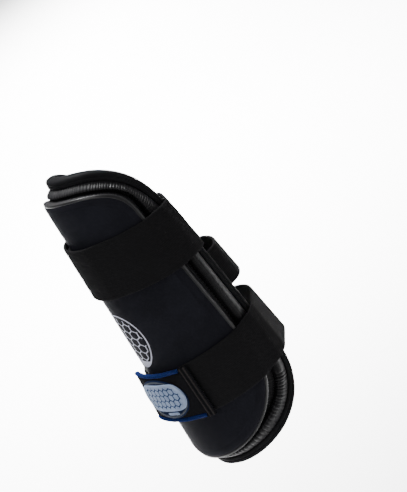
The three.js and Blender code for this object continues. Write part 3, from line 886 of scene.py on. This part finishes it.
def guard_height(bearing, z):
    """How high the guard stands over the lining where a strap presses on it."""
    around = np.abs(bearing) * wrap_radius(z)
    edge, rim = outline_reach(z, SHELL), outline_reach(z, RIM)
    in_shell, from_rim = edge - around, rim - around
    on_top = np.interp(in_shell, [0.0, 4.0], [SHELL_TOP - 0.6, SHELL_TOP])
    across = (from_rim - BINDING_WIDTH) / (rim - edge - WALL_RUN - BINDING_WIDTH)
    on_roll = np.where((across > 0.2) & (across < 0.6), PAD + ROLL_RISE, PAD + BINDING_TOP)
    on_rim = PAD + BINDING_TOP * np.clip(from_rim + 0.4, 0, 1)
    return np.where(in_shell >= 0, on_top, np.where(from_rim > BINDING_WIDTH, on_roll, on_rim))


def taut_line(points):
    """Distance from the axis, at any bearing, to the convex outline of points in a section."""
    hull = points[mathutils.geometry.convex_hull_2d(points.tolist())]
    after = np.roll(hull, -1, 0)

    def reach(bearing):
        ray_x, ray_y = np.sin(bearing)[:, None], -np.cos(bearing)[:, None]
        here = ray_x * hull[:, 1] - ray_y * hull[:, 0]
        there = ray_x * after[:, 1] - ray_y * after[:, 0]
        gap = here - there
        share = here / np.where(gap == 0, 1, gap)
        far = mix(hull[:, 0], after[:, 0], share) * ray_x + mix(hull[:, 1], after[:, 1], share) * ray_y
        return np.where((here * there <= 0) & (gap != 0), far, 0).max(1)

    return reach


def from_axis(bearing, z, distance):
    x, y = distance * np.sin(bearing), -distance * np.cos(bearing)
    return np.stack([x, y, np.broadcast_to(z, x.shape)], -1)


for title, strap in (("upper", UPPER), ("lower", LOWER), ("middle", MIDDLE)):
    print(title, "root, degrees round from the front:", round(math.degrees(root_bearing(strap))))

# %% [markdown]
# A wide strap runs from its root under the far edge, round the back, over the near edge and on to
# the front. Its tab presses on the loop patch there, and the free start of the tab bends off the
# guard a little. Both are kept as distances from the axis, for each bearing and lane.

# %% Paths of the wide straps and of their tabs
LANE_COUNT = 17
LANES = np.linspace(-1, 1, LANE_COUNT)
MIDDLE_LANE = LANE_COUNT // 2
SUPPORT_STEP, SUPPORT_PAST = math.radians(1), 0.12
EASE_ROWS = 3
TAB_BEND = 1.6


def eased(distance):
    """Thick webbing doesn't crease: a running mean along the strap rounds its bends."""
    rows = len(distance)
    kernel = np.hanning(2 * EASE_ROWS + 3)[1:-1]
    near = np.arange(-EASE_ROWS, EASE_ROWS + 1)
    picked = np.clip(np.arange(rows)[:, None] + near, 0, rows - 1)
    return np.einsum("rkl,k->rl", distance[picked], kernel / kernel.sum())


def at_lanes(bearing, bearings, distance):
    """Distances at other bearings, for every lane."""
    return np.stack([np.interp(bearing, bearings, one) for one in distance.T], -1)


def from_start(line):
    """How far each point of a line is from its start, along it."""
    return totals(np.linalg.norm(np.diff(line, axis=0), axis=1))


def mid_line(strap, bearings, distance, lift=0.0):
    """The line along the middle of a strap."""
    return from_axis(bearings, lane_z(strap, bearings, 0.0), distance[:, MIDDLE_LANE] + lift)


def wide_path(strap, patch, bearings):
    """Distance of a wide strap's inner face from the axis, for each bearing and lane."""
    top = top_bearing(strap)
    far_front = -top / 3
    distances = []
    for lane in LANES:
        far = FULL_TURN - float(rim_bearing(lane_z(strap, math.pi, lane)))
        support = np.arange(far_front - SUPPORT_PAST, far, SUPPORT_STEP)
        z = lane_z(strap, support, lane)
        in_patch = (support / top >= patch["start"]) & (support / top <= patch["end"])
        lift = np.where(in_patch, PATCH + GAP, 0)
        on_guard = support <= rim_bearing(z)
        height = np.where(on_guard, guard_height(support, z) + lift + CLEARANCE, strap["standoff"])
        taut = taut_line(on_arm(support, z, height)[:, :2])(bearings)
        z = lane_z(strap, bearings, lane)
        front = axis_distance(on_arm(bearings, z, SHELL_TOP + PATCH + GAP + CLEARANCE))
        root = axis_distance(on_arm(bearings, z, ROOT_HEIGHT))
        taut = np.where(bearings < far_front, front, taut)
        far_edge = FULL_TURN - rim_bearing(z)
        turn = smoothstep(bearings, far_edge - TURN_IN, far_edge)
        distances.append(mix(taut, root, turn))
    return eased(np.stack(distances, 1))


def tab_path(strap, tab, bearings, strap_end, strap_bearings, strap_distance):
    """The same for a hook tab: pressed on its patch, over the end of its strap, and bending off
    the guard from its middle to its free start."""
    top = top_bearing(strap)
    start, end = tab["start"] * top, tab["end"] * top
    middle = (start + end) / 2
    to_start = np.clip((middle - bearings) / (middle - start), 0, None) ** TAB_BEND
    distances = []
    for k, lane in enumerate(LANES):
        support = np.arange(start - SUPPORT_PAST, end + SUPPORT_PAST, SUPPORT_STEP)
        z = lane_z(strap, support, lane)
        points = on_arm(support, z, SHELL_TOP + PATCH + 2 * GAP)[:, :2]
        over = support[support >= strap_end]
        under = np.interp(over, strap_bearings, strap_distance[:, k]) + STRAP + 1.0
        points = np.concatenate([points, from_axis(over, 0.0, under)[:, :2]])
        lift = mix(tab["wrist_lift"], tab["elbow_lift"], (1 - lane) / 2)
        distances.append(taut_line(points)(bearings) + lift * to_start)
    return np.stack(distances, 1)


print("lanes across a strap:", len(LANES))

# %% [markdown]
# A band is one section carried along such a path: two flat faces with rounded edges.

# %% Bands along a path
FACES_APART = 5.0


def band_section(low, high, thick):
    """Across a band: lanes and lifts once round, with rounded edges; sideways is in millimetres."""
    wide, bent = 19, 5
    flat = np.linspace(low, high, wide)
    turn = np.linspace(-math.pi / 2, math.pi / 2, bent + 2)[1:-1]
    lane = np.concatenate([flat, np.full(bent, high), flat[::-1], np.full(bent, low)])
    edge_lift = thick / 2 + thick / 2 * np.sin(turn)
    lift = np.concatenate([np.zeros(wide), edge_lift, np.full(wide, thick), edge_lift[::-1]])
    side = thick / 2 * np.cos(turn)
    sideways = np.concatenate([np.zeros(wide), side, np.zeros(wide), -side[::-1]])
    sideways += np.where(lane >= high, -thick / 2, 0) + np.where(lane <= low, thick / 2, 0)
    return lane, lift, sideways


def band(strap, bearings, distance, low, high, thick):
    """A closed band along a path, with its flat places, and its length along the middle."""
    lane, rise, sideways = band_section(low, high, thick)
    inner = np.stack([np.interp(lane, LANES, row) for row in distance])
    rise = np.tile(rise, (len(bearings), 1))
    rise[0] = rise[-1] = thick / 2
    z = lane_z(strap, bearings[:, None], lane[None]) + sideways[None]
    points = from_axis(np.broadcast_to(bearings[:, None], z.shape), z, inner + rise)
    along = from_start(mid_line(strap, bearings, distance, thick / 2))
    across = lane * strap["width"] / 2
    flat = np.stack(np.broadcast_arrays(along[:, None], across[None], rise * FACES_APART), -1)
    return (points, flat, False, True), float(along[-1])


def spaced(start, end, step_degrees):
    inner = np.linspace(start, end, int(math.degrees(end - start) / step_degrees) + 2)
    return np.concatenate([[start], inner, [end]])


print("points round the section of a band:", len(band_section(-1, 1, STRAP)[0]))

# %% [markdown]
# Each wide strap has a loop patch under it on the shell, and a hook tab over its end. The tab's
# long edges are overlocked in blue: a soft core with loops of thread laid round it.

# %% Overlocked edges
YARN_PITCH, YARN_RADIUS, YARN_STEPS = 1.15, 0.34, 16
SQUARENESS = 0.7


def squared(wave):
    """A wave with flatter tops, so that a loop of yarn lies flat on both faces."""
    return np.sign(wave) * np.abs(wave) ** SQUARENESS


def overlock(strap, bearings, distance, low, high, thick):
    """Loops of yarn round one edge of a tab, as tubes along a flattened spiral."""
    along = from_start(mid_line(strap, bearings, distance))
    loops = int(along[-1] / YARN_PITCH)
    t = np.arange(loops * YARN_STEPS + 1) / YARN_STEPS
    bearing = np.interp(t * YARN_PITCH, along, bearings)
    lane = (low + high) / 2 + (high - low) / 2 * squared(np.cos(FULL_TURN * t)) * 1.06
    rise = thick / 2 * (1 + 1.12 * squared(np.sin(FULL_TURN * t)))
    column = at_lanes(bearing, bearings, distance)
    inner = np.array([np.interp(a, LANES, row) for a, row in zip(lane, column)])
    line = from_axis(bearing, lane_z(strap, bearing, lane), inner + rise)
    way = unit(np.gradient(line, axis=0))
    on = np.stack([np.cos(bearing), np.sin(bearing), np.zeros_like(bearing)], -1)
    side = unit(np.cross(way, on))
    points = tube(line, side, np.cross(side, way), YARN_RADIUS)
    return points, points, False, True


print("loops of yarn in 100 mm:", round(100 / YARN_PITCH))

# %% [markdown]
# A tab ends in a doubled fold: two sewn ridges across it, which keep the hooks from lifting. Their
# paler colour is a painted highlight, so they show as a pair of light lines.

# %% Ridges at the end of a tab
# The two narrow ridges carry the mark that paints a highlight on them.
RIDGES = [(3.6, 8.4, 0.9, 0.0), (1.6, 1.9, 1.9, PAINTED_HIGHLIGHT_MARK), (5.4, 1.7, 1.6, PAINTED_HIGHLIGHT_MARK)]


def end_ridges(strap, bearings, distance, lift):
    """Ridges across a tab near its end: each (way back from the end, width, height, mark for a painted
    highlight, or 0).
    """
    middle = distance[:, MIDDLE_LANE] + lift
    along = totals(middle[:-1] * np.diff(bearings))
    lanes = np.linspace(-1.03, 1.03, 49)
    turn = turns(12)
    parts = []
    for back, wide, tall, mark in RIDGES:
        bearing = np.interp(along[-1] - back, along, bearings)
        inner = np.interp(lanes, LANES, at_lanes(bearing, bearings, distance))
        bearing = bearing + wide / 2 * np.cos(turn)[None] / inner[:, None]
        rise = lift - 0.4 + tall * np.clip(np.sin(turn), -0.6, 1)[None]
        points = from_axis(bearing, lane_z(strap, bearing, lanes[:, None]), inner[:, None] + rise)
        parts.append((points, points * [1, 1, 0] + [0, 0, mark], False, True))
    return parts


print("ridges at the end of a tab:", len(RIDGES))

# %% [markdown]
# One function makes both wide straps, since they are cut and sewn alike: the webbing, the loop
# patch on the shell, the hook tab with its ridges, and the two edgings. A strap could be drawn as
# one mesh with its tab, but it opens there, so what is sewn stays together and what peels is apart.

# %% Both wide straps
PATCH_IN, OPEN_END = 4.5, 7.0
STRAP_STEP, PATCH_STEP, TAB_STEP = 1.0, 1.5, 0.8


def lane_in(strap, way):
    """The lane that lies a way in from the edge of a strap, in millimetres."""
    return 1 - 2 * way / strap["width"]


def wide_strap(name, strap, patch, tab):
    top = top_bearing(strap)
    end = tab["end"] * top - TAB_LAP / (wrap_radius(strap["front"]) + SHELL_TOP)
    bearings = spaced(end, FULL_TURN - root_bearing(strap), STRAP_STEP)
    distance = wide_path(strap, patch, bearings)
    part, length = band(strap, bearings, distance, -1, 1, STRAP)
    piece = dress(joined(f"{name}_elastic", [part]), elastic, f"{name}_strap")
    print(name, "strap, mm:", round(length), "by", strap["width"])

    reach = lane_in(strap, PATCH_IN)
    patch_bearings = spaced(patch["start"] * top, patch["end"] * top, PATCH_STEP)
    z = lane_z(strap, patch_bearings[:, None], LANES[None])
    patch_distance = axis_distance(on_arm(patch_bearings[:, None], z, SHELL_TOP + GAP))
    patch_part, _ = band(strap, patch_bearings, patch_distance, -reach, reach, PATCH)
    loops = dress(joined(f"{name}_loops", [patch_part]), loop, f"{name}_loop_patch")

    tab_bearings = spaced(tab["start"] * top, tab["end"] * top, TAB_STEP)
    tab_distance = tab_path(strap, tab, tab_bearings, end, bearings, distance)
    inside, narrow_inside = lane_in(strap, EDGING + GAP), lane_in(strap, WRIST_EDGING + GAP)
    tab_part, tab_length = band(strap, tab_bearings, tab_distance, -inside, narrow_inside, TAB)
    ridges = end_ridges(strap, tab_bearings, tab_distance, TAB)
    hooks = dress(joined(f"{name}_hooks", [tab_part]), hook, f"{name}_strap_tab")
    edgings = [dress(joined(f"{name}_tab_end", ridges), hook, f"{name}_strap_tab")]
    shown = tab_bearings < tab_bearings[-1] - OPEN_END / tab_distance[-1, MIDDLE_LANE]
    shown_bearings, shown_distance = tab_bearings[shown], tab_distance[shown]
    for side, low, high in (("wrist", lane_in(strap, WRIST_EDGING), 1),
                            ("elbow", -1, -lane_in(strap, EDGING))):
        core, _ = band(strap, shown_bearings, shown_distance, low, high, TAB + 0.1)
        yarn = overlock(strap, shown_bearings[1:], shown_distance[1:], low, high, TAB + 0.2)
        edging = joined(f"{name}_{side}_overlock", [core, yarn])
        edgings.append(dress(edging, blue, f"{name}_tab_{side}_edging"))
    strap["width"] * (inside + narrow_inside) / 2 * MM
    return tab_bearings, tab_distance


wide_strap("upper", UPPER, UPPER_PATCH, UPPER_TAB)
tab_bearings, tab_distance = wide_strap("lower", LOWER, LOWER_PATCH, LOWER_TAB)

# %% [markdown]
# The middle strap goes round the back of the arm only, and is sewn under both edges of the guard.
# Nothing holds it off the arm, so it needs no convex outline: it keeps an even height over it.

# %% Middle strap
def middle_strap():
    root = root_bearing(MIDDLE)
    bearings = spaced(root, FULL_TURN - root, 1.2)
    distances = []
    for lane in LANES:
        z = lane_z(MIDDLE, bearings, lane)
        past = np.minimum(bearings, FULL_TURN - bearings) - rim_bearing(z)
        height = mix(ROOT_HEIGHT, MIDDLE["standoff"], smoothstep(past, 0, TURN_IN))
        distances.append(axis_distance(on_arm(bearings, z, height)))
    part, length = band(MIDDLE, bearings, np.stack(distances, 1), -1, 1, STRAP)
    return joined("middle_elastic", [part]), length


middle, middle_length = middle_strap()
dress(middle, elastic, "middle_strap")
print("middle strap, mm:", round(middle_length), "by", MIDDLE["width"])

# %% [markdown]
# ## Badge
#
# A moulded rubber badge is sewn on the front of the lower tab. Its base is a dark oval with a
# thin pale line near the edge. A pale plate stands on it: the same oval with its two long sides
# cut straight, and a plain honeycomb sunk in it. Under the plate is a small bare label. Each is a
# stack of rings of its own outline, laid on the curve of the tab. The honeycomb is left to the
# finish: it is too shallow to show at the edge.

# %% Rubber badge on the tab
BADGE = {"half_length": 31.0, "half_width": 19.5}
PLATE = {"half_length": 29.4, "oval": 18.6, "cut": 13.3}
LABEL = {"half_length": 8.0, "half_width": 1.25, "corner": 0.3}
BADGE_POINTS = 144
SECTIONS = {
    "base": [(1, 0, 0.02), (1, -0.1, 0.4), (1, 0.15, 0.75), (1, 0.6, 0.8), (1, 1.4, 0.8),
             (1, 1.7, 1.0), (1, 2.3, 1.0), (1, 2.6, 0.8), (0.5, 0, 0.8), (0, 0, 0.8)],
    "plate": [(1, 0, 0.75), (1, 0, 1.2), (1, 0.25, 1.55), (1, 0.7, 1.7), (1, 1.5, 1.7),
              (1, 1.8, 1.5), (0.8, 0, 1.48), (0.6, 0, 1.5), (0.3, 0, 1.5), (0, 0, 1.5)],
    "label": [(1, 0, 0.7), (1, 0, 0.95), (1, 0.15, 1.05), (0.5, 0, 1.05), (0, 0, 1.05)],
}
MIDDLES = {"base": (0.0, 0.0), "plate": (0.8, 1.6), "label": (3.0, -14.4)}


def on_tab(along, across, lift):
    """A point on the tab from its distances from the middle of the tab's front."""
    face = np.interp(0.0, tab_bearings, tab_distance[:, MIDDLE_LANE]) + TAB
    bearing = along / face
    column = at_lanes(bearing, tab_bearings, tab_distance)
    lane = np.broadcast_to(across / (LOWER["width"] / 2), bearing.shape)
    rows = zip(lane.ravel(), column.reshape(-1, LANE_COUNT))
    inner = np.array([np.interp(a, LANES, row) for a, row in rows]).reshape(lane.shape)
    return from_axis(bearing, lane_z(LOWER, bearing, lane), inner + TAB + lift)


def raised(outline, kind, order):
    """A raised shape on the tab: rings of its outline, each (share, inset, height)."""
    share, inset, lift = (np.array(column)[:, None] for column in zip(*SECTIONS[kind]))
    reach = np.hypot(outline[:, 0], outline[:, 1])
    scale = share * (1 - inset / reach[None])
    along, across = scale * outline[None, :, 0], scale * outline[None, :, 1]
    middle_along, middle_across = MIDDLES[kind]
    points = on_tab(along + middle_along, across + middle_across, lift + 0 * along)
    rings = np.broadcast_to(share * 10 - inset + order * 100, along.shape)
    return points, np.stack([along, across, rings], -1), False, True


def badge():
    turn = turns(BADGE_POINTS)
    oval = np.stack([np.cos(turn), np.sin(turn)], -1)
    base = oval * [BADGE["half_length"], BADGE["half_width"]]
    plate = oval * [PLATE["half_length"], PLATE["oval"]]
    flattened = np.tanh((np.abs(plate[:, 1]) / PLATE["cut"]) ** 3) ** (1 / 3)
    plate[:, 1] = PLATE["cut"] * flattened * np.sign(plate[:, 1])
    square = np.sign(oval) * np.abs(oval) ** LABEL["corner"]
    label = square * [LABEL["half_length"], LABEL["half_width"]]
    shapes = {"base": base, "plate": plate, "label": label}
    return joined("badge", [raised(outline, kind, order)
                            for order, (kind, outline) in enumerate(shapes.items())])


dress(badge(), rubber, "tab_badge")

# %% [markdown]
# ## Studio
#
# A pale floor well below the guard fills the picture behind it. It could be a bent backdrop, but
# a flat floor this wide has no edge in view.

# %% Floor
REACH, DROP = 30.0, -0.45
floor_mesh = bpy.data.meshes.new("floor")
corners = [(-REACH, -REACH, DROP), (REACH, -REACH, DROP), (REACH, REACH, DROP), (-REACH, REACH, DROP)]
floor_mesh.from_pydata(corners, [], [(0, 1, 2, 3)])
floor = placed("floor", floor_mesh)
pale, _, _ = finish("pale_floor", (0.9, 0.9, 0.9), 0.9, 0.0)
floor_mesh.materials.append(pale)
print("floor, metres below the axis:", -DROP)

# %% [markdown]
# The camera looks from 65 degrees round to the near side and 18 degrees up, rolled so that the
# wrist leans to the left.

# %% Camera
AZIMUTH, ELEVATION, ROLL = (math.radians(a) for a in (65, 18, 36))
DISTANCE, LENS, AIM_RIGHT, AIM_UP = 1.4, 122.4, 0.0177, 0.0347
back = np.array([math.sin(AZIMUTH) * math.cos(ELEVATION), -math.cos(AZIMUTH) * math.cos(ELEVATION),
                 math.sin(ELEVATION)])
level = np.array([math.cos(AZIMUTH), math.sin(AZIMUTH), 0.0])
upright = np.cross(back, level)
right = math.cos(ROLL) * level - math.sin(ROLL) * upright
up = math.sin(ROLL) * level + math.cos(ROLL) * upright
camera_data = bpy.data.cameras.new("camera")
camera_data.lens = LENS
camera_data.clip_end = 100.0
camera = placed("camera", camera_data)
bpy.context.scene.camera = camera
stand = right * AIM_RIGHT + up * AIM_UP + back * DISTANCE
rows = np.stack([right, up, back, stand], 1).tolist()
camera.matrix_world = mathutils.Matrix(rows + [[0.0, 0.0, 0.0, 1.0]])
print("camera, metres:", stand.round(3))

# %% [markdown]
# A lamp high on the left of the camera gives the form, a narrow one on the right draws the long
# highlights on the border, and one low in front fills in. A fourth washes the floor behind the
# guard nearly white, and the sky is dim, so that the blacks stay black.

# %% Lights
def soft_light(name, place, size, power, target=(0.0, 0.0, 0.0), spread=180.0, turn=0.0):
    light = bpy.data.lights.new(name, "AREA")
    light.spread = math.radians(spread)
    light.shape = "RECTANGLE"
    light.size, light.size_y = size
    light.energy = power
    lamp = placed(name, light)
    lamp.location = place
    way = mathutils.Vector(place) - mathutils.Vector(target)
    lamp.rotation_euler = way.to_track_quat("Z", "Y").to_euler()
    lamp.rotation_euler.z += turn
    print(name, "lamp, watts:", power)


soft_light("key", -right * 1.1 + up * 1.3 + back * 0.9, (1.2, 1.2), 12.0)
soft_light("side", right * 1.2 + up * 0.45 + back * 0.85, (0.2, 1.4), 1.8)
soft_light("front", -right * 1.0 - up * 0.4 + back * 1.4, (1.0, 1.0), 6.0)
behind = -back * [1.0, 1.0, 0.0]
soft_light("floor_wash", behind * 2.9 + [0.0, 0.0, 2.4], (4.4, 1.2), 430.0, behind * 2.9, 60.0,
           AZIMUTH - math.pi / 2)
world = bpy.data.worlds.new("sky")
world.use_nodes = True
world.node_tree.nodes["Background"].inputs["Color"].default_value = (1.0, 1.0, 1.0, 1.0)
world.node_tree.nodes["Background"].inputs["Strength"].default_value = 0.25
bpy.context.scene.world = world

# %% [markdown]
# ## The size of the guard
#
# The drawn guard has to keep the size of the CAD part.
